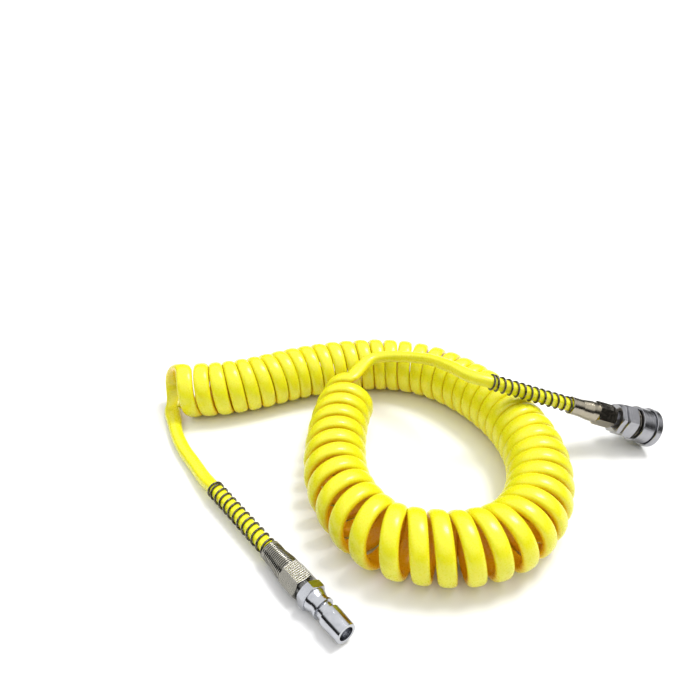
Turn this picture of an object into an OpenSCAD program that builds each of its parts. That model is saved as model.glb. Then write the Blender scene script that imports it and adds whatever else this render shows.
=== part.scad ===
// Coiled polyurethane air hose with a quick-connect plug on one end and a coupler on the other.
// Millimetres. +Z is up and the hose lies on the plane z = 0. The plug lies at the front, and the
// coupler comes down over the coil on the right until the rim of its sleeve rests on the plane.

/* [Hose] */
// Outer diameter of the hose
hose_od = 8; // [7.6:0.1:8]
// Bore of the hose
hose_id = 5; // [5:0.1:5.4]
// Outer diameter of the coil
coil_od = 39.6; // [38:0.1:39.6]

/* [Spring guards] */
// Wire diameter of the spring guards
guard_wire = 1.3; // [1:0.1:1.3]
// Length of the plug's guard that shows behind its nut
plug_guard_length = 62; // [54:1:64]
// Length of the coupler's guard that shows behind its nut
coupler_guard_length = 60; // [54:1:61]
// Turns in each guard
guard_turns = 13; // [10:1:16]

/* [Hose nuts] */
// Width across the flats of the nuts and of the plug's hexagon
nut_af = 14; // [13.6:0.1:14]
// Radius of a nut's narrow end
nut_mouth_r = 6; // [5.9:0.05:6.2]
// Radius of a nut's barrel beside its hexagon
nut_flare_r = 6.9; // [6.5:0.05:6.9]
// Number of fine grooves round the barrel of the plug's nut
nut_grooves = 13; // [0:1:14]

/* [Plug] */
// Radius of the collar that the balls lock behind
collar_r = 6.2; // [6.1:0.02:6.24]
// Radius at the bottom of the locking groove
groove_r = 4.9; // [4.6:0.1:5.2]
// Radius of the nose at its tip
nose_r = 5.85; // [5.75:0.05:6]
// Radius of the nose's bore
nose_bore_r = 4; // [3.5:0.1:4.3]

/* [Coupler] */
// Width across the flats of the tail's hexagon
tail_af = 19; // [18:0.5:20]
// Width across the flats of the body's hexagon
body_af = 21; // [20:0.5:22]
// Radius of the socket that takes the plug
socket_r = 6.3; // [6.28:0.01:6.4]
// Outer radius of the sleeve behind its rim
sleeve_r = 12.2; // [11.8:0.1:12.4]
// Outer radius of the sleeve's rim
rim_r = 13.25; // [13:0.05:13.5]

/* [Hidden] */
$fn = 64;

yellow = [0.95, 0.9, 0.1];
steel = [0.72, 0.72, 0.74];
chrome = [0.85, 0.86, 0.88];
dark_wire = [0.3, 0.28, 0.25];
rubber = [0.08, 0.08, 0.08];

hose_r = hose_od / 2;
coil_r = coil_od / 2;
// Cutting solids stand this far past the faces they cut, and joined ones run this far together.
past = 0.5;
// Clearance of screwed and sliding fits, on the radius.
fit = 0.05;
// Gap left under whatever rests on the plane.
rest = 0.02;

// Centre line of the coil from above, from the plug's end to the coupler's end.
coil_route = [[-170, 67], [-136, 70], [-109, 78], [-77, 92], [-44, 101], [-9, 103], [23, 93],
    [51, 68], [71, 33], [78, -6], [70, -42], [51, -67], [27, -77], [3, -77], [-19, -71],
    [-36, -53], [-47, -25], [-48, 11], [-43, 46], [-34, 71]];
coil_rings_per_span = 4;
coil_sides = 16;

// The lead to the plug leaves the bottom of the coil's end and lies on the plane.
plug_lead_route = [[-171, 68, 4.1], [-170, 60, 4.1], [-167, 52, 4.1], [-163, 41, 4.1],
    [-158, 30, 4.1], [-151, 18, 4.1], [-142, 5, 4.6], [-132, -10, 6]];
// The lead to the coupler leaves the top of the coil's other end and crosses over the coil.
coupler_lead_route = [[-34, 72, 36.4], [-25, 80, 38], [-12, 83, 39.5], [3, 77, 43],
    [18, 64.5, 48.5], [30, 47, 53.5], [39, 32.5, 56]];
lead_rings_per_span = 4;
lead_sides = 10;

// Stations along both fittings: x = 0 at the narrow end of the nut, +x towards the free end.
nut_narrow = 8;
nut_flared = 15;
nut_hex_x = [19.2, 32.8];
guard_seat = 2.2;
hose_step = [10, 12];
hose_stop = 22;
hose_stretch = 0.6;
barb_x = [10.5, 22.3];
barb_r = 2.4;
barb_ridge_r = 3;
barb_ridges = 4;
bore_r = 1.8;
thread_r = 5;
guard_r = hose_r + 0.2 + guard_wire / 2;

plug_hex_x = [35, 40.5];
plug_shoulder_x = [41.2, 44.2];
plug_ring_x = [47.3, 48.4];
plug_groove_x = [48.8, 52.3];
plug_collar_x = [52.8, 56.1];
plug_tip_x = 66;
plug_neck_r = 5.6;

tail_hex_x = [35, 39];
tail_front = 41.9;
tail_cup_r = 8;
spring_bore_r = 4.1;
spring_bore_back = 26;
chamber_r = 7;
chamber_back = 36;
o_ring_x = [39.9, 40.9];
o_ring_groove_r = 7.3;
o_ring_wire_r = 0.33;

body_hex_x = [39, 47.3];
body_front = 64.3;
barrel_r = 8.55;
seal_x = [45, 48];
seal_groove_r = 7.6;
seal_hole_r = 5.7;
ball_relief_x = [54.5, 59.4];
ball_relief_r = 6.6;

// The poppet's crown stands through the seal, where the plug's nose pushes it back.
poppet_head_x = [44.1, 44.9];
poppet_head_r = 6.4;
poppet_crown_front = 45.8;
poppet_crown_r = 5.4;
poppet_stem_back = 36.5;
poppet_stem_r = 2.2;
crown_slots = 2;
crown_slot = 2;

// The sleeve slides back over the balls, which climb its cone and let the plug go.
sleeve_x = [50.1, 64.5];
sleeve_land_x = [56, 57];
sleeve_cone_end = 60.35;
sleeve_lip_x = [62, 62.8];
sleeve_rim_back = 59.8;
sleeve_pocket_r = 10.7;
sleeve_recess_r = 9.8;
sleeve_mouth_r = 9.9;
sleeve_land_r = barrel_r + fit;
stop_ring_x = [62.9, 63.75];
stop_ring_inner_r = 8;
stop_ring_outer_r = 9.7;

ball_count = 6;
ball_x = 57.3;
ball_r = 1.5;
ball_ring_r = 7;
ball_hole_r = 1.6;

// The plug points towards the front on the right, resting on a corner of its hexagon.
plug_yaw = -50;
plug_tip = [-40.8, -119.6, nut_af / 2 / cos(30) + rest];
// The coupler points right and down, resting on the rim of its sleeve.
coupler_yaw = 2.8;
coupler_tilt = 20;
coupler_face = [168.5, 32.5, rim_r * cos(coupler_tilt) + rest];

plug_axis = [cos(plug_yaw), sin(plug_yaw), 0];
coupler_axis = [cos(coupler_tilt) * cos(coupler_yaw), cos(coupler_tilt) * sin(coupler_yaw),
    -sin(coupler_tilt)];

// ---- Helpers ----

function unit(v) = v / norm(v);

// A point on the smooth curve that runs from b to c, with the points a and d on either side.
function on_curve(a, b, c, d, t) =
    (2 * b + (c - a) * t + (2 * a - 5 * b + 4 * c - d) * t * t
        + (3 * b - a - 3 * c + d) * t * t * t) / 2;

// The smooth curve through the points p. It sets out from p[0] away from before, and comes to
// its last point on its way to after.
function curve(p, before, after, per_span) =
    let (q = concat([before], p, [after]))
    [for (i = [1:len(p) - 1])
        for (k = [0:per_span - 1])
            on_curve(q[i - 1], q[i], q[i + 1], q[i + 2], k / per_span),
        p[len(p) - 1]];

// Points round p, square to the direction t, the first of them lowest.
function ring(p, t, r, sides) =
    let (
        across = unit(cross(t, [0, 0, 1])),
        up = cross(across, t)
    )
    [for (j = [0:sides - 1])
        let (a = 360 * j / sides - 90)
        p + r * (cos(a) * across + sin(a) * up)];

// The faces of a closed skin over rings of points, with a flat at either end.
function skin(rings, sides) = concat(
    [[for (j = [sides - 1:-1:0]) j]],
    [for (i = [0:rings - 2])
        for (j = [0:sides - 1])
            let (k = (j + 1) % sides)
            [i * sides + j, i * sides + k, (i + 1) * sides + k, (i + 1) * sides + j]],
    [[for (j = [0:sides - 1]) (rings - 1) * sides + j]]);

// A round bar of radius r along the path p, its ends square to the directions first and last.
module sweep(p, first, last, r, sides) {
    end = len(p) - 1;
    points = [for (i = [0:end])
        let (t = i == 0 ? first : i == end ? last : p[i + 1] - p[i - 1])
        each ring(p[i], unit(t), r, sides)];
    polyhedron(points, skin(len(p), sides));
}

// A wire wound about X between x0 and x1, with its first turn wound close.
module wire_coil(r, wire, x0, x1, turns, sides = 6, steps = 16) {
    wire_r = wire / 2;
    count = round(turns * steps);
    close_pitch = wire * 1.15;
    pitch = (x1 - x0 - wire - close_pitch) / (turns - 1);
    points = [for (i = [0:count])
        for (j = [0:sides - 1])
            let (
                turn = i / steps,
                a = 360 * j / sides,
                x = x0 + wire_r + min(turn, 1) * close_pitch + max(turn - 1, 0) * pitch,
                reach = r + wire_r * cos(a)
            )
            [x + wire_r * sin(a), reach * cos(360 * turn), reach * sin(360 * turn)]];
    polyhedron(points, skin(count + 1, sides));
}

// A solid turned about X from an outline of [x, radius] points.
module turned(outline) {
    rotate([0, 90, 0])
        rotate_extrude()
            polygon([for (q = outline) [q[1], q[0]]]);
}

// A round bar along X over the span of x.
module bar(x, r) {
    turned([[x[0], 0], [x[0], r], [x[1], r], [x[1], 0]]);
}

// A ring along X over the span of x.
module band(x, inner, outer) {
    turned([[x[0], inner], [x[0], outer], [x[1], outer], [x[1], inner]]);
}

// A hexagonal bar along X with its corners turned off. Turned by 0 it stands on a corner.
module hex_bar(x, af, turn) {
    corner_r = af / 2 / cos(30);
    face_r = af / 2 - 0.1;
    slope = (corner_r - face_r) / 2;
    intersection() {
        translate([x[0], 0, 0])
            rotate([turn, 0, 0])
                rotate([0, 90, 0])
                    cylinder(h = x[1] - x[0], r = corner_r, $fn = 6);
        turned([[x[0], 0], [x[0], face_r], [x[0] + slope, corner_r + fit],
            [x[1] - slope, corner_r + fit], [x[1], face_r], [x[1], 0]]);
    }
}

module at_plug() {
    translate(plug_tip)
        rotate([0, 0, plug_yaw])
            translate([-plug_tip_x, 0, 0])
                children();
}

module at_coupler() {
    translate(coupler_face)
        rotate([0, coupler_tilt, coupler_yaw])
            translate([-sleeve_x[1], 0, 0])
                children();
}

function on_plug(x) = plug_tip + (x - plug_tip_x) * plug_axis;

function on_coupler(x) = coupler_face + (x - sleeve_x[1]) * coupler_axis;

// ---- The hose ----

// The outer shape of the wound part.
module hose_coil() {
    route = [for (q = coil_route) [q[0], q[1], coil_r]];
    end = len(route) - 1;
    first = route[1] - route[0];
    last = route[end] - route[end - 1];
    color(yellow)
        sweep(curve(route, route[0] - first, route[end] + last, coil_rings_per_span),
            first, last, coil_r, coil_sides);
}

// A free lead from the coil to the mouth of a spring guard, which it enters along axis.
module hose_lead(route, mouth, axis) {
    first = route[1] - route[0];
    color(yellow)
        sweep(curve(concat(route, [mouth]), route[0] - first, mouth + 12 * axis,
            lead_rings_per_span), first, axis, hose_r, lead_sides);
}

module hose_lead_plug() {
    hose_lead(plug_lead_route, on_plug(-plug_guard_length), plug_axis);
}

module hose_lead_coupler() {
    hose_lead(coupler_lead_route, on_coupler(-coupler_guard_length), coupler_axis);
}

// The straight end of the hose inside a guard and a nut, stretched over the barb.
module hose_end(guard_length) {
    wide_id_r = hose_id / 2 + hose_stretch;
    wide_r = hose_r + hose_stretch;
    color(yellow)
        turned([[-guard_length, hose_id / 2], [-guard_length, hose_r], [hose_step[0], hose_r],
            [hose_step[1], wide_r], [hose_stop, wide_r], [hose_stop, wide_id_r],
            [hose_step[1], wide_id_r], [hose_step[0], hose_id / 2]]);
}

module hose_end_plug() {
    at_plug()
        hose_end(plug_guard_length);
}

module hose_end_coupler() {
    at_coupler()
        hose_end(coupler_guard_length);
}

// ---- Pieces that both ends share ----

module spring_guard(guard_length) {
    color(dark_wire)
        wire_coil(guard_r, guard_wire, -guard_length, guard_seat - fit, guard_turns);
}

// A hose nut: a hexagon at the front and a flared barrel behind it, with grooves round it.
module hose_nut(grooves) {
    groove_width = 0.45;
    groove_depth = 0.15;
    first_groove = 3;
    hose_bore_end = 9;
    edge = 0.3;
    color(steel)
        difference() {
            union() {
                hex_bar(nut_hex_x, nut_af, 30);
                turned([[0, 0], [0, nut_mouth_r - edge], [edge, nut_mouth_r],
                    [nut_narrow, nut_mouth_r], [nut_flared, nut_flare_r],
                    [nut_hex_x[0] + past, nut_flare_r], [nut_hex_x[0] + past, 0]]);
            }
            bar([-past, guard_seat], guard_r + guard_wire / 2 + fit);
            bar([0, hose_bore_end + past], hose_r + 0.15);
            bar([hose_bore_end, hose_stop + 0.1], hose_r + hose_stretch + 0.15);
            bar([hose_stop, nut_hex_x[1] + past], thread_r + fit);
            for (i = [0:1:grooves - 1])
                let (x = first_groove + i * (nut_hex_x[0] - first_groove) / grooves)
                band([x, x + groove_width], barrel_at(x) - groove_depth, barrel_at(x) + past);
        }
}

// Outer radius of a nut's barrel at the station x.
function barrel_at(x) =
    let (share = max(0, min(1, (x - nut_narrow) / (nut_flared - nut_narrow))))
    nut_mouth_r + share * (nut_flare_r - nut_mouth_r);

// The threaded stem behind a fitting and the barb that the hose is pushed over.
module stem_and_barb(front) {
    ridge = (barb_x[1] - hose_step[1]) / barb_ridges;
    bar([barb_x[1], front], thread_r);
    turned([[barb_x[0], 0], [barb_x[0], barb_r], [hose_step[1], barb_ridge_r],
        for (i = [0:barb_ridges - 1])
            each [[hose_step[1] + (i + 0.2) * ridge, barb_r + 0.2],
                [hose_step[1] + (i + 1) * ridge - 0.1, barb_ridge_r]],
        [barb_x[1] + past, barb_ridge_r], [barb_x[1] + past, 0]]);
}

// ---- Plug end ----

module plug_spring_guard() {
    at_plug()
        spring_guard(plug_guard_length);
}

module plug_nut() {
    at_plug()
        hose_nut(nut_grooves);
}

module plug_body() {
    tip_edge = 0.6;
    bore_step = plug_tip_x - 7.5;
    nose_bore_back = plug_tip_x - 6;
    ring_r = collar_r + 0.05;
    shoulder_r = 6.6;
    at_plug()
        color(chrome)
            difference() {
                union() {
                    stem_and_barb(plug_hex_x[0] + past);
                    hex_bar(plug_hex_x, nut_af, 0);
                    turned([[plug_hex_x[1] - past, 0], [plug_hex_x[1] - past, shoulder_r],
                        [plug_shoulder_x[0], shoulder_r], [plug_shoulder_x[1], plug_neck_r + 0.1],
                        [plug_ring_x[0] - 0.2, plug_neck_r], [plug_ring_x[0], ring_r],
                        [plug_ring_x[1], ring_r], [plug_groove_x[0], groove_r],
                        [plug_groove_x[1], groove_r], [plug_collar_x[0], collar_r],
                        [plug_collar_x[1], collar_r], [plug_tip_x - tip_edge, nose_r],
                        [plug_tip_x, nose_r - tip_edge / 2], [plug_tip_x, 0]]);
                }
                bar([barb_x[0] - past, plug_tip_x], bore_r);
                turned([[bore_step, 0], [bore_step, bore_r + 0.8],
                    [nose_bore_back, nose_bore_r], [plug_tip_x + past, nose_bore_r],
                    [plug_tip_x + past, 0]]);
            }
}

// ---- Coupler end ----

module coupler_spring_guard() {
    at_coupler()
        spring_guard(coupler_guard_length);
}

module coupler_nut() {
    at_coupler()
        hose_nut(0);
}

module coupler_tail() {
    at_coupler()
        color(chrome)
            difference() {
                union() {
                    stem_and_barb(tail_hex_x[0] + past);
                    hex_bar(tail_hex_x, tail_af, 0);
                    bar([tail_hex_x[1] - past, tail_front], tail_cup_r);
                }
                bar([barb_x[0] - past, spring_bore_back + past], bore_r);
                bar([spring_bore_back, chamber_back + past], spring_bore_r);
                bar([chamber_back, tail_front + past], chamber_r);
                band(o_ring_x, o_ring_groove_r, tail_cup_r + past);
            }
}

module tail_o_ring() {
    at_coupler()
        color(rubber)
            translate([(o_ring_x[0] + o_ring_x[1]) / 2, 0, 0])
                rotate([0, 90, 0])
                    rotate_extrude()
                        translate([o_ring_groove_r + o_ring_wire_r + fit, 0])
                            circle(r = o_ring_wire_r);
}

module coupler_body() {
    mouth_edge = 0.5;
    at_coupler()
        color(chrome)
            difference() {
                union() {
                    hex_bar(body_hex_x, body_af, 0);
                    bar([body_hex_x[1] - past, body_front], barrel_r);
                }
                bar([body_hex_x[0] - past, body_front + past], socket_r);
                bar([body_hex_x[0] - past, tail_front + 0.1], tail_cup_r + fit);
                bar([tail_front, seal_x[0] + past], chamber_r);
                bar(seal_x, seal_groove_r);
                bar(ball_relief_x, ball_relief_r);
                turned([[body_front - mouth_edge, 0], [body_front - mouth_edge, socket_r],
                    [body_front + past, socket_r + mouth_edge + past], [body_front + past, 0]]);
                band([stop_ring_x[0] - fit, stop_ring_x[1] + fit], stop_ring_inner_r - fit,
                    barrel_r + past);
                for (i = [1:ball_count])
                    at_ball(i, 0)
                        cylinder(h = barrel_r + past, r = ball_hole_r);
            }
}

module socket_seal() {
    at_coupler()
        color(rubber)
            band([seal_x[0] + fit, seal_x[1] - fit], seal_hole_r, seal_groove_r - fit);
}

module valve_poppet() {
    at_coupler()
        color(steel)
            difference() {
                union() {
                    bar([poppet_stem_back, poppet_head_x[0] + past], poppet_stem_r);
                    bar(poppet_head_x, poppet_head_r);
                    bar([poppet_head_x[1] - past, poppet_crown_front], poppet_crown_r);
                }
                for (i = [0:crown_slots - 1])
                    rotate([180 * i / crown_slots, 0, 0])
                        translate([poppet_head_x[1], -poppet_crown_r - past, -crown_slot / 2])
                            cube([poppet_crown_front, 2 * (poppet_crown_r + past), crown_slot]);
            }
}

module valve_spring() {
    wire = 0.7;
    turns = 7;
    at_coupler()
        color(steel)
            wire_coil(3.4, wire, spring_bore_back + fit, poppet_head_x[0] - fit, turns, 6, 14);
}

module sleeve() {
    edge = 0.3;
    step_r = sleeve_r - edge;
    groove_floor_r = sleeve_r - 0.8;
    at_coupler()
        color(chrome)
            turned([[sleeve_x[0], sleeve_pocket_r], [sleeve_x[0], step_r],
                [sleeve_x[0] + edge, sleeve_r], [sleeve_rim_back - 3 * edge, sleeve_r],
                [sleeve_rim_back - 2 * edge, groove_floor_r], [sleeve_rim_back, groove_floor_r],
                [sleeve_rim_back, rim_r - edge], [sleeve_rim_back + edge, rim_r],
                [sleeve_x[1] - 2 * edge, rim_r], [sleeve_x[1], rim_r - 2 * edge],
                [sleeve_x[1], sleeve_mouth_r + edge], [sleeve_x[1] - edge, sleeve_mouth_r],
                [sleeve_lip_x[1], sleeve_mouth_r], [sleeve_lip_x[1], sleeve_land_r + fit],
                [sleeve_lip_x[0], sleeve_land_r + fit], [sleeve_lip_x[0], sleeve_recess_r],
                [sleeve_cone_end, sleeve_recess_r], [sleeve_land_x[1], sleeve_land_r],
                [sleeve_land_x[0], sleeve_land_r], [sleeve_land_x[0], sleeve_pocket_r]]);
}

module sleeve_spring() {
    wire = 0.9;
    turns = 4.5;
    at_coupler()
        color(steel)
            wire_coil((barrel_r + sleeve_pocket_r) / 2, wire, body_hex_x[1] + fit,
                sleeve_land_x[0] - fit, turns);
}

module sleeve_stop_ring() {
    gap = 1.6;
    at_coupler()
        color(dark_wire)
            difference() {
                band(stop_ring_x, stop_ring_inner_r, stop_ring_outer_r);
                translate([stop_ring_x[0] - past, -gap / 2, -stop_ring_outer_r - past])
                    cube([2, gap, stop_ring_outer_r]);
            }
}

// Ball number i stands away from the axis by r.
module at_ball(i, r) {
    translate([ball_x, 0, 0])
        rotate([360 * (i - 0.5) / ball_count, 0, 0])
            translate([0, 0, r])
                children();
}

module ball(i) {
    at_coupler()
        color(chrome)
            at_ball(i, ball_ring_r)
                sphere(r = ball_r);
}

hose_coil();
hose_lead_plug();
hose_lead_coupler();
hose_end_plug();
hose_end_coupler();
plug_spring_guard();
plug_nut();
plug_body();
coupler_spring_guard();
coupler_nut();
coupler_tail();
tail_o_ring();
coupler_body();
socket_seal();
valve_poppet();
valve_spring();
sleeve();
sleeve_spring();
sleeve_stop_ring();
ball(1);  // ball_1
ball(2);  // ball_2
ball(3);  // ball_3
ball(4);  // ball_4
ball(5);  // ball_5
ball(6);  // ball_6
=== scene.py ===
"""A coiled air hose with a plug and a coupler, on a pale floor.

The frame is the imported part's. Lengths are worked out in millimetres and handed to Blender in metres.
"""
import math

import bpy
import numpy as np
from mathutils import Matrix, Vector


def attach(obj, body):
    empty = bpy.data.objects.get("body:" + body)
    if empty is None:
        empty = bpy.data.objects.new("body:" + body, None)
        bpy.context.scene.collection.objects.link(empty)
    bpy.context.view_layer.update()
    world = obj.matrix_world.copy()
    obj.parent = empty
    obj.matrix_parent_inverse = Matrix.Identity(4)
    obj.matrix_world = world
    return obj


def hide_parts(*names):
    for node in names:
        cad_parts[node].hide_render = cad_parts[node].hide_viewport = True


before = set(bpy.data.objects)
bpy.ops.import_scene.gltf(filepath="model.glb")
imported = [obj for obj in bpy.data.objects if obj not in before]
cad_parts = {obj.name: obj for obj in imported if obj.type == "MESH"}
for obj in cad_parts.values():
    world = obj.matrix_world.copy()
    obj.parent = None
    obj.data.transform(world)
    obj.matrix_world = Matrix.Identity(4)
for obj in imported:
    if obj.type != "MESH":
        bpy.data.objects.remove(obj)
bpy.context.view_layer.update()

MM = 0.001

# ---- The camera ----

CAMERA_PLACE = (-0.039, -0.296, 0.273)
CAMERA_PITCH = 59.0
CAMERA_LENS = 30.857

camera = bpy.data.objects.new("camera", bpy.data.cameras.new("camera"))
camera.location = CAMERA_PLACE
camera.rotation_euler = (math.radians(CAMERA_PITCH), 0, 0)
camera.data.lens = CAMERA_LENS
camera.data.sensor_width = 36
camera.data.clip_start = 0.01
bpy.context.scene.collection.objects.link(camera)
bpy.context.scene.camera = camera

# ---- Where things are, as in the part's source ----

# HELIX_R, the radius of the tube's centre line in the coil, is only here, and GUARD_SEAT is the
# source's less its fit.
HOSE_R = 4.0
COIL_R = 19.8
HELIX_R = 16.8
PLUG_GUARD_LENGTH = 62.0
COUPLER_GUARD_LENGTH = 60.0
GUARD_WIRE = 1.3
GUARD_TURNS = 13
GUARD_R = 4.85
GUARD_SEAT = 2.15

COIL_ROUTE = [(-170, 67), (-136, 70), (-109, 78), (-77, 92), (-44, 101), (-9, 103), (23, 93),
              (51, 68), (71, 33), (78, -6), (70, -42), (51, -67), (27, -77), (3, -77), (-19, -71),
              (-36, -53), (-47, -25), (-48, 11), (-43, 46), (-34, 71)]
PLUG_LEAD = [(-132, -10, 6), (-142, 5, 4.6), (-151, 18, 4), (-158, 30, 4), (-163, 41, 4),
             (-167, 52, 4), (-170, 60, 3.8)]
COUPLER_LEAD = [(-25, 80, 38), (-12, 83, 39.5), (3, 77, 43), (18, 64.5, 48.5), (30, 47, 53.5),
                (39, 32.5, 56)]

REST = 0.02
PLUG_TIP_X = 66.0
PLUG_YAW = math.radians(-50)
PLUG_TIP = Vector((-40.8, -119.6, 7 / math.cos(math.radians(30)) + REST))
PLUG_AXIS = Vector((math.cos(PLUG_YAW), math.sin(PLUG_YAW), 0))

COUPLER_FACE_X = 64.5
COUPLER_YAW = math.radians(2.8)
COUPLER_TILT = math.radians(20)
RIM_R = 13.25
COUPLER_FACE = Vector((168.5, 32.5, RIM_R * math.cos(COUPLER_TILT) + REST))
COUPLER_AXIS = Vector((math.cos(COUPLER_TILT) * math.cos(COUPLER_YAW),
                       math.cos(COUPLER_TILT) * math.sin(COUPLER_YAW), -math.sin(COUPLER_TILT)))

PLUG_FRAME = (Matrix.Translation(PLUG_TIP) @ Matrix.Rotation(PLUG_YAW, 4, "Z")
              @ Matrix.Translation((-PLUG_TIP_X, 0, 0)))
COUPLER_FRAME = (Matrix.Translation(COUPLER_FACE) @ Matrix.Rotation(COUPLER_YAW, 4, "Z")
                 @ Matrix.Rotation(COUPLER_TILT, 4, "Y")
                 @ Matrix.Translation((-COUPLER_FACE_X, 0, 0)))

UP = np.array([0.0, 0.0, 1.0])


def unit(v):
    """v at length one; v may be a row of vectors."""
    return v / np.linalg.norm(v, axis=-1, keepdims=True)


def on_axis(place, x):
    """The point at station x of a fitting whose frame is place, in millimetres."""
    return np.array((place @ Vector((x, 0, 0)))[:])


def curve(points, before, after, per_span):
    """Points on the smooth curve through points, as the part's source draws it."""
    q = [np.array(before, float)] + [np.array(p, float) for p in points] + [np.array(after, float)]
    out = []
    for i in range(1, len(points)):
        a, b, c, d = q[i - 1:i + 3]
        for k in range(per_span):
            t = k / per_span
            out.append((2 * b + (c - a) * t + (2 * a - 5 * b + 4 * c - d) * t * t
                        + (3 * b - a - 3 * c + d) * t ** 3) / 2)
    out.append(q[-2])
    return np.array(out)


def lengths(points):
    """The distance along points, from 0 at the first."""
    return np.concatenate([[0], np.cumsum(np.linalg.norm(np.diff(points, axis=0), axis=1))])


def along(points, s, at):
    """points, whose distances are s, read off at the distances at."""
    return np.column_stack([np.interp(at, s, points[:, k]) for k in range(points.shape[1])])


def new_mesh(name, points, faces, body, material, smooth=True):
    """A mesh object from points in millimetres, riding on body."""
    mesh = bpy.data.meshes.new(name)
    mesh.from_pydata([tuple(p) for p in np.asarray(points) * MM], [], faces)
    mesh.validate()
    mesh.update()
    mesh.polygons.foreach_set("use_smooth", [smooth] * len(mesh.polygons))
    piece = bpy.data.objects.new(name, mesh)
    bpy.context.scene.collection.objects.link(piece)
    mesh.materials.append(material)
    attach(piece, body)
    return piece


def skin(rings, sides):
    """The faces over rings of points, closed by a flat at either end."""
    faces = []
    for i in range(rings - 1):
        for j in range(sides):
            k = (j + 1) % sides
            faces.append((i * sides + j, i * sides + k, (i + 1) * sides + k, (i + 1) * sides + j))
    faces.append(tuple(reversed(range(sides))))
    faces.append(tuple((rings - 1) * sides + j for j in range(sides)))
    return faces


def section_rings(path, normal, wide, high, power, sides):
    """Rings of a rounded section along path, and how far out along normal each of a ring's points is.

    The section is wide across normal and high along it, both half sizes; power 2 makes it an ellipse.
    """
    tangent = unit(np.gradient(path, axis=0))
    normal = unit(normal - tangent * np.sum(normal * tangent, axis=1, keepdims=True))
    side = np.cross(tangent, normal)
    angle = 2 * np.pi * np.arange(sides) / sides
    c = np.sign(np.cos(angle)) * np.abs(np.cos(angle)) ** (2 / power)
    s = np.sign(np.sin(angle)) * np.abs(np.sin(angle)) ** (2 / power)
    rings = (path[:, None, :] + side[:, None, :] * (wide[:, None] * c)[:, :, None]
             + normal[:, None, :] * (high[:, None] * s)[:, :, None])
    return rings, s


# ---- Materials ----

def material(name):
    """A new node material: (material, node tree, its shader)."""
    m = bpy.data.materials.new(name)
    m.use_nodes = True
    tree = m.node_tree
    return m, tree, tree.nodes["Principled BSDF"]


def add(tree, kind, **values):
    """A node of that kind with its inputs or settings."""
    n = tree.nodes.new(kind)
    for key, value in values.items():
        if hasattr(n, key):
            setattr(n, key, value)
        else:
            n.inputs[key.replace("_", " ")].default_value = value
    return n


def ramp(tree, source, stops):
    """A colour ramp over source, from (position, grey or colour) stops."""
    n = add(tree, "ShaderNodeValToRGB")
    while len(n.color_ramp.elements) < len(stops):
        n.color_ramp.elements.new(0.5)
    for e, (position, colour) in zip(n.color_ramp.elements, stops):
        e.position = position
        e.color = (*colour, 1) if isinstance(colour, tuple) else (colour, colour, colour, 1)
    tree.links.new(source, n.inputs["Fac"])
    return n.outputs["Color"]


def blend_colour(tree, factor, a, b):
    """Colour a turning to b with factor; each is a socket or a colour."""
    n = add(tree, "ShaderNodeMix", data_type="RGBA")
    for socket, value in ((n.inputs[0], factor), (n.inputs[6], a), (n.inputs[7], b)):
        if isinstance(value, bpy.types.NodeSocket):
            tree.links.new(value, socket)
        else:
            socket.default_value = value if isinstance(value, float) else (*value, 1)
    return n.outputs[2]


def bump(tree, shader, height, strength, distance):
    """Bump on shader from height, distance in metres."""
    n = add(tree, "ShaderNodeBump", Strength=strength, Distance=distance)
    tree.links.new(height, n.inputs["Height"])
    tree.links.new(n.outputs["Normal"], shader.inputs["Normal"])


def hose_material():
    """Glossy, slightly cloudy yellow polyurethane, with amber painted shade on the coil's sides, inner
    faces and low parts.
    """
    m, tree, shader = material("hose_polyurethane")
    link = tree.links.new
    where = add(tree, "ShaderNodeTexCoord").outputs["Object"]
    # The attribute read here is painted shade: it turns the coil's sides, inner faces and low parts amber.
    shade = add(tree, "ShaderNodeAttribute", attribute_name="painted_shade").outputs["Fac"]
    cloud = add(tree, "ShaderNodeTexNoise", Scale=90.0, Detail=3.0)
    link(where, cloud.inputs["Vector"])
    streak = add(tree, "ShaderNodeTexNoise", Scale=900.0, Detail=2.0)
    link(where, streak.inputs["Vector"])
    skin_colour = ramp(tree, cloud.outputs["Fac"], [(0.3, (0.79, 0.76, 0.010)), (0.7, (0.84, 0.81, 0.02))])
    colour = blend_colour(tree, shade, skin_colour, (0.90, 0.52, 0.006))
    link(colour, shader.inputs["Base Color"])
    link(ramp(tree, streak.outputs["Fac"], [(0.3, 0.24), (0.7, 0.34)]), shader.inputs["Roughness"])
    shader.inputs["IOR"].default_value = 1.5
    shader.inputs["Subsurface Weight"].default_value = 0.25
    shader.inputs["Subsurface Radius"].default_value = (1.0, 0.6, 0.08)
    shader.inputs["Subsurface Scale"].default_value = 0.002
    shader.inputs["Coat Weight"].default_value = 0.1
    shader.inputs["Coat Roughness"].default_value = 0.08
    bump(tree, shader, cloud.outputs["Fac"], 0.25, 0.0003)
    return m


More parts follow.
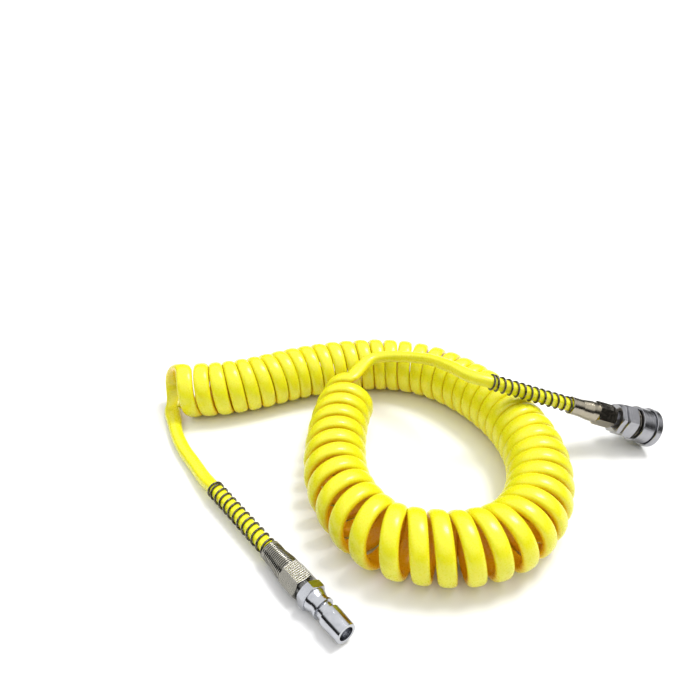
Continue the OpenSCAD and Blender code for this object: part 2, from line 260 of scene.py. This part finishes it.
def turned_metal(name, axis, colour, rough, ridge=None):
    """Plated metal turned on a lathe about axis, with fine rings and, if given, ridges that far apart."""
    m, tree, shader = material(name)
    link = tree.links.new
    where = add(tree, "ShaderNodeTexCoord").outputs["Object"]
    station = add(tree, "ShaderNodeVectorMath", operation="DOT_PRODUCT")
    link(where, station.inputs[0])
    station.inputs[1].default_value = tuple(axis)
    rings = add(tree, "ShaderNodeTexNoise", noise_dimensions="1D", Scale=9000.0, Detail=2.0)
    link(station.outputs["Value"], rings.inputs["W"])
    mottle = add(tree, "ShaderNodeTexNoise", Scale=260.0, Detail=4.0)
    link(where, mottle.inputs["Vector"])
    pale = tuple(min(1.0, c * 1.08) for c in colour)
    deep_colour = tuple(c * 0.92 for c in colour)
    link(ramp(tree, mottle.outputs["Fac"], [(0.3, deep_colour), (0.7, pale)]), shader.inputs["Base Color"])
    link(ramp(tree, rings.outputs["Fac"], [(0.3, rough * 0.7), (0.7, rough * 1.4)]),
         shader.inputs["Roughness"])
    shader.inputs["Metallic"].default_value = 1.0
    if ridge is None:
        bump(tree, shader, rings.outputs["Fac"], 0.35, 0.00006)
        return m
    phase = add(tree, "ShaderNodeMath", operation="MULTIPLY")
    link(station.outputs["Value"], phase.inputs[0])
    phase.inputs[1].default_value = 2 * math.pi / ridge
    wave = add(tree, "ShaderNodeMath", operation="SINE")
    link(phase.outputs[0], wave.inputs[0])
    bump(tree, shader, wave.outputs[0], 1.0, 0.00015)
    return m


def wire_material():
    """Dark, oiled spring steel with drawn marks."""
    m, tree, shader = material("guard_spring_wire")
    link = tree.links.new
    where = add(tree, "ShaderNodeTexCoord").outputs["Object"]
    marks = add(tree, "ShaderNodeTexNoise", Scale=700.0, Detail=5.0)
    link(where, marks.inputs["Vector"])
    link(ramp(tree, marks.outputs["Fac"], [(0.35, (0.04, 0.036, 0.032)), (0.7, (0.22, 0.20, 0.17))]),
         shader.inputs["Base Color"])
    link(ramp(tree, marks.outputs["Fac"], [(0.3, 0.22), (0.7, 0.42)]), shader.inputs["Roughness"])
    shader.inputs["Metallic"].default_value = 0.9
    bump(tree, shader, marks.outputs["Fac"], 0.2, 0.00005)
    return m


def rubber_material():
    """Matt black rubber."""
    m, tree, shader = material("seal_rubber")
    where = add(tree, "ShaderNodeTexCoord").outputs["Object"]
    grain = add(tree, "ShaderNodeTexNoise", Scale=1500.0, Detail=3.0)
    tree.links.new(where, grain.inputs["Vector"])
    tree.links.new(ramp(tree, grain.outputs["Fac"], [(0.3, 0.02), (0.7, 0.045)]),
                   shader.inputs["Base Color"])
    shader.inputs["Roughness"].default_value = 0.6
    bump(tree, shader, grain.outputs["Fac"], 0.3, 0.00003)
    return m


HOSE = hose_material()
WIRE = wire_material()
RUBBER = rubber_material()
PLUG_METAL = turned_metal("plug_chrome", PLUG_AXIS, (0.46, 0.47, 0.50), 0.12)
PLUG_NUT_METAL = turned_metal("plug_nut_plated", PLUG_AXIS, (0.28, 0.27, 0.235), 0.15, 0.00125)
COUPLER_METAL = turned_metal("coupler_satin_chrome", COUPLER_AXIS, (0.34, 0.34, 0.36), 0.22)
COUPLER_NUT_METAL = turned_metal("coupler_nut_plated", COUPLER_AXIS, (0.36, 0.325, 0.255), 0.15)

# ---- The hose ----

ROUTE_PER_SPAN = 40
STEPS_PER_TURN = 36
SECTION_SIDES = 16
SECTION_POWER = 2.5
LINE_STEP = 0.5
BEND_WINDOW = 31
# Half height of the flattened hose in the coil, and its half width and half height in the leads.
HOSE_HIGH = 3.0
LEAD_WIDE = 4.4
LEAD_HIGH = 3.8
# Neighbouring turns leave a narrow gap, but no turn is squeezed narrower than this half width.
TURN_SHARE = 0.485
NARROWEST = 2.8
# The hose fills its guard a little more than its own radius and reaches this far into each nut.
GUARD_FILL = 0.05
NUT_REACH = 9.0
LEAD_STEPS = 16
LEAD_PER_SPAN = 10
# The coil starts at the bottom and ends at the top, half a turn over a whole number.
TURNS = 51.5
# Distance along the coil of the tube's start and of the first crest.
COIL_START = -1.5
FIRST_CREST = 11.5
# The first turn swings out by this much, around this turn and over about this share of a turn.
FLARE = -7.0
FLARE_TURN = 0.25
FLARE_SPREAD = 0.16
# How far the section takes to change from a lead's to the coil's, at the start and at the end.
START_BLEND = 35.0
END_BLEND = 30.0
# How far ahead of a guard's mouth the flattened lead begins to turn round.
MOUTH_BLEND = 10.0
# The amber painted shade on the coil's sides, inner faces and undersides begins this far into the coil and
# is whole this much further on.
AMBER_START = 15.0
AMBER_BLEND = 40.0
# How amber, as painted shade, the sides of the tube are, how much less the outer face of a turn is and how
# much more its inner face, and how much more the low part of a turn is, where its outward direction rises
# by less than UNDER_FROM.
AMBER_SIDE = 0.5
AMBER_FACE = 0.9
AMBER_UNDER = 0.6
UNDER_FROM = 0.15
# Distance along the coil, and the pitch of the turns there.
PITCHES = [(0, 12.8), (25, 10.8), (50, 9.8), (80, 9.9), (110, 10.4), (140, 11.0), (165, 10.8),
           (185, 12.0), (200, 12.1), (220, 11.3), (240, 10.3), (265, 10.6), (290, 11.4), (320, 11.2),
           (345, 12.0), (440, 12.2), (470, 13.2), (550, 13.1), (600, 12.8)]
# Distance along the coil, and half the width the hose is flattened to there.
WIDTHS = [(0, 5.8), (60, 5.2), (600, 5.2)]


def coil_line():
    """The coil's centre line, evenly spaced: (points, distances, tangents, bends)."""
    first = np.array(COIL_ROUTE[0]) * 2.0 - np.array(COIL_ROUTE[1])
    last = np.array(COIL_ROUTE[-1]) * 2.0 - np.array(COIL_ROUTE[-2])
    rough = curve(COIL_ROUTE, first, last, ROUTE_PER_SPAN)
    s = lengths(rough)
    at = np.arange(0, s[-1], LINE_STEP)
    flat = along(rough, s, at)
    line = np.column_stack([flat, np.full(len(flat), COIL_R)])
    tangent = unit(np.gradient(line, axis=0))
    window = np.ones(BEND_WINDOW) / BEND_WINDOW
    turning = np.gradient(tangent, at, axis=0)
    padded = np.pad(turning, ((BEND_WINDOW // 2, BEND_WINDOW // 2), (0, 0)), mode="edge")
    bend = np.column_stack([np.convolve(padded[:, k], window, mode="valid") for k in range(3)])
    return line, at, tangent, bend


def helix():
    """The wound hose: its path, outward normals and half widths."""
    line, s, tangent, bend = coil_line()
    pitch = np.interp(s, *zip(*PITCHES))
    turns = np.concatenate([[0], np.cumsum(LINE_STEP / pitch[:-1])])
    turns += 0.5 - np.interp(FIRST_CREST, s, turns)
    wanted = np.linspace(0, TURNS, int(TURNS * STEPS_PER_TURN) + 1)
    at = np.where(wanted < 0.5, COIL_START + 2 * wanted * (FIRST_CREST - COIL_START),
                  np.interp(wanted, turns, s))
    forward = unit(along(tangent, s, at))
    centre = along(line, s, at) + forward * np.minimum(at, 0)[:, None]
    bend_at = along(bend, s, at)
    pitch_at = np.interp(at, s, pitch)
    phase = np.pi + 2 * np.pi * wanted
    right = np.cross(forward, UP)
    outward = np.cos(phase)[:, None] * UP + np.sin(phase)[:, None] * right
    flare = FLARE * np.exp(-((wanted - FLARE_TURN) / FLARE_SPREAD) ** 2)
    path = centre + HELIX_R * outward + forward * flare[:, None]
    spacing = pitch_at * (1 - HELIX_R * np.sum(outward * bend_at, axis=1))
    wide = np.minimum(TURN_SHARE * spacing, np.interp(at, *zip(*WIDTHS)))
    return path, outward, np.maximum(wide, NARROWEST)


def smooth_share(x):
    """0 to 1 with level ends as x goes from 0 to 1."""
    x = np.clip(x, 0, 1)
    return x * x * (3 - 2 * x)


def hose():
    """The whole tube from inside the plug's nut to inside the coupler's nut."""
    wound, outward, wide = helix()
    plug_in = [on_axis(PLUG_FRAME, x)
               for x in np.linspace(NUT_REACH, -PLUG_GUARD_LENGTH, LEAD_STEPS)]
    coupler_in = [on_axis(COUPLER_FRAME, x)
                  for x in np.linspace(-COUPLER_GUARD_LENGTH, NUT_REACH, LEAD_STEPS)]
    plug_lead = curve([plug_in[-1]] + PLUG_LEAD + [wound[0]], plug_in[-3], wound[2], LEAD_PER_SPAN)
    coupler_lead = curve([wound[-1]] + COUPLER_LEAD + [coupler_in[0]], wound[-4], coupler_in[2],
                         LEAD_PER_SPAN)
    path = np.vstack([plug_in[:-1], plug_lead[:-1], wound, coupler_lead[1:], coupler_in[1:]])
    before = len(plug_in) - 1 + len(plug_lead) - 1
    after = len(coupler_lead) - 1 + len(coupler_in) - 1
    s = lengths(path)
    start, end = s[before], s[before + len(wound) - 1]
    normal = np.vstack([np.tile(-UP, (before, 1)), outward, np.tile(UP, (after, 1))])
    from_end = (end + END_BLEND - s) / END_BLEND
    into = smooth_share(np.minimum((s - start + START_BLEND) / START_BLEND, from_end))
    into[before:before + len(wound)] = 1
    lead_wide = np.full(len(s), LEAD_WIDE)
    lead_high = np.full(len(s), LEAD_HIGH)
    mouth = s[len(plug_in) - 1], s[-len(coupler_in)]
    inside = smooth_share(1 + np.maximum(mouth[0] - s, s - mouth[1]) / MOUTH_BLEND)
    lead_wide += (HOSE_R + GUARD_FILL - lead_wide) * inside
    lead_high += (HOSE_R + GUARD_FILL - lead_high) * inside
    coil_wide = np.concatenate([np.full(before, wide[0]), wide, np.full(after, wide[-1])])
    wides = lead_wide + (coil_wide - lead_wide) * into
    highs = lead_high + (HOSE_HIGH - lead_high) * into
    rings, out_share = section_rings(path, normal, wides, highs, SECTION_POWER, SECTION_SIDES)
    piece = new_mesh("hose", rings.reshape(-1, 3), skin(len(path), SECTION_SIDES),
                     "hose_and_fittings", HOSE)
    # Painted shade: amber is laid on the coil's sides, inner faces and undersides, as if they were
    # shadowed between the turns.
    shade_in_coil = smooth_share(np.minimum((s - start - AMBER_START) / AMBER_BLEND, from_end))
    under = AMBER_UNDER * np.clip(UNDER_FROM - normal[:, 2], 0, 1)
    amber = AMBER_SIDE - AMBER_FACE * out_share[None, :] + under[:, None]
    painted_shade = np.clip(amber, 0, 1) * shade_in_coil[:, None]
    attribute = piece.data.attributes.new("painted_shade", "FLOAT", "POINT")
    attribute.data.foreach_set("value", painted_shade.ravel())
    return piece, path, s[-1]


hose_piece, hose_path, hose_length = hose()
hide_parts("hose_coil", "hose_lead_plug", "hose_lead_coupler", "hose_end_plug",
            "hose_end_coupler")


# ---- The spring guards ----

GUARD_STEPS = 40
GUARD_SIDES = 12
ROUND = 2.0
# Pitch of the close-wound first turn, in wire diameters.
CLOSE_PITCH = 1.15


def guard(name, place, node, length):
    """A spring guard wound about the hose, close wound over its first turn."""
    count = GUARD_TURNS * GUARD_STEPS
    turn = np.arange(count + 1) / GUARD_STEPS
    wire_r = GUARD_WIRE / 2
    close = GUARD_WIRE * CLOSE_PITCH
    span = GUARD_SEAT + length - GUARD_WIRE - close
    x = (-length + wire_r + np.minimum(turn, 1) * close
         + np.maximum(turn - 1, 0) * span / (GUARD_TURNS - 1))
    angle = 2 * np.pi * turn
    path = np.column_stack([x, GUARD_R * np.cos(angle), GUARD_R * np.sin(angle)])
    normal = np.column_stack([np.zeros(count + 1), np.cos(angle), np.sin(angle)])
    size = np.full(count + 1, wire_r)
    rings, _ = section_rings(path, normal, size, size, ROUND, GUARD_SIDES)
    world = [place @ Vector(p) for p in rings.reshape(-1, 3)]
    piece = new_mesh(name, [p[:] for p in world], skin(count + 1, GUARD_SIDES),
                     "hose_and_fittings", WIRE)
    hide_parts(node)
    return piece


plug_guard = guard("plug_guard_wire", PLUG_FRAME, "plug_spring_guard", PLUG_GUARD_LENGTH)
coupler_guard = guard("coupler_guard_wire", COUPLER_FRAME, "coupler_spring_guard",
                      COUPLER_GUARD_LENGTH)

# ---- The fittings keep their CAD shapes ----

for node, metal in (("plug_nut", PLUG_NUT_METAL), ("plug_body", PLUG_METAL),
                    ("coupler_nut", COUPLER_NUT_METAL), ("coupler_tail", COUPLER_METAL),
                    ("coupler_body", COUPLER_METAL), ("sleeve", COUPLER_METAL),
                    ("valve_poppet", COUPLER_NUT_METAL), ("valve_spring", WIRE),
                    ("sleeve_spring", WIRE), ("sleeve_stop_ring", WIRE),
                    ("tail_o_ring", RUBBER), ("socket_seal", RUBBER),
                    *((f"ball_{i}", COUPLER_METAL) for i in range(1, 7))):
    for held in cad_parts[node].material_slots:
        held.material = metal

# ---- The floor, the light and the world ----

# The floor runs on far enough that its edge is out of sight.
FLOOR_REACH = 60
# The side that the key light shines from.
KEY_PLACE = Vector((0.5, 0.35, 1.2))

floor_mesh = bpy.data.meshes.new("floor")
floor_mesh.from_pydata([(-FLOOR_REACH, -FLOOR_REACH, 0), (FLOOR_REACH, -FLOOR_REACH, 0),
                        (FLOOR_REACH, FLOOR_REACH, 0), (-FLOOR_REACH, FLOOR_REACH, 0)],
                       [], [(0, 1, 2, 3)])
floor = bpy.data.objects.new("floor", floor_mesh)
bpy.context.scene.collection.objects.link(floor)
floor_material, floor_tree, floor_shader = material("floor")
floor_shader.inputs["Base Color"].default_value = (0.9, 0.9, 0.9, 1)
floor_shader.inputs["Roughness"].default_value = 0.9
floor_mesh.materials.append(floor_material)

key = bpy.data.lights.new("key", "SUN")
key.energy = 2.0
key.angle = math.radians(22)
key_lamp = bpy.data.objects.new("key", key)
key_lamp.rotation_euler = (-KEY_PLACE).to_track_quat("-Z", "Y").to_euler()
bpy.context.scene.collection.objects.link(key_lamp)

# A bright ceiling over a dark horizon, which gives the metal its black and white streaks. Seen
# directly it is plain white.
world = bpy.data.worlds.new("studio")
bpy.context.scene.world = world
world.use_nodes = True
direction = add(world.node_tree, "ShaderNodeTexCoord").outputs["Generated"]
height = add(world.node_tree, "ShaderNodeSeparateXYZ")
world.node_tree.links.new(direction, height.inputs[0])
sky = ramp(world.node_tree, height.outputs["Z"],
           [(0.0, 0.01), (0.42, 0.03), (0.52, 1.0), (1.0, 1.1)])
background = world.node_tree.nodes["Background"]
seen = add(world.node_tree, "ShaderNodeLightPath").outputs["Is Camera Ray"]
world.node_tree.links.new(blend_colour(world.node_tree, seen, sky, (1.0, 1.0, 1.0)),
                          background.inputs["Color"])
background.inputs["Strength"].default_value = 1.2
bpy.context.scene.view_settings.view_transform = "Standard"
